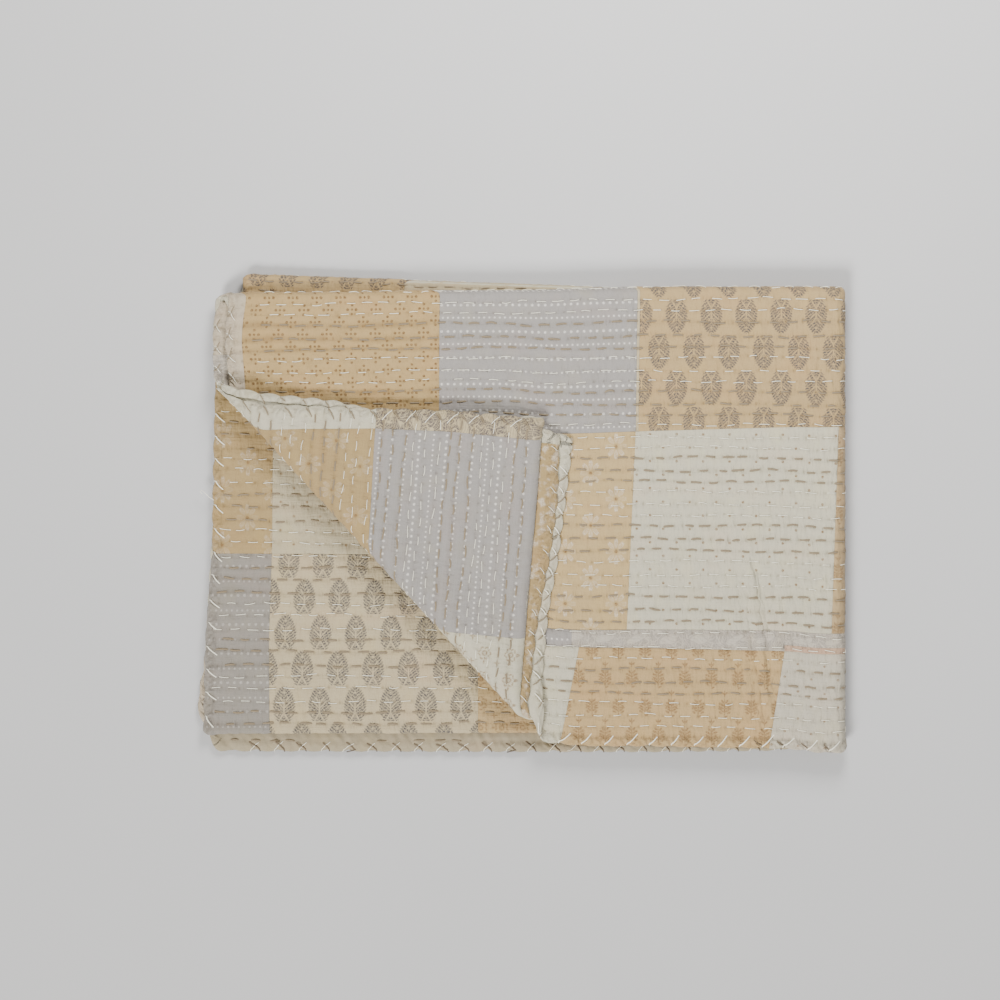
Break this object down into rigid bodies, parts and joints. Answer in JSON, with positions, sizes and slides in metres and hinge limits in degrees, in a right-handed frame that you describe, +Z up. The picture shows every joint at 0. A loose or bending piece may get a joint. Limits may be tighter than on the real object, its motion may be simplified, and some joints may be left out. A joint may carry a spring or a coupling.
{
  "type": "folded kantha quilt",
  "caption": "Stitched patchwork cotton throw, folded in half lengthwise twice and once across, with one corner of the upper layers turned up over the top.",
  "frame": {"origin": "middle of the base of the folded quilt's box, on the surface it lies on", "axes": "+X along the folded quilt towards its single right-hand fold, +Y towards its far folds, +Z up through the layers"},
  "size_m": [0.6462, 0.4798, 0.0398],
  "materials": {
    "quilt_cotton": "matt block-printed cotton patchwork in beige, grey and ivory, hand quilted with rows of running stitch"
  },
  "bodies": {
    "root": {"quilt": "quilt_cotton"}
  },
  "joints": []
}
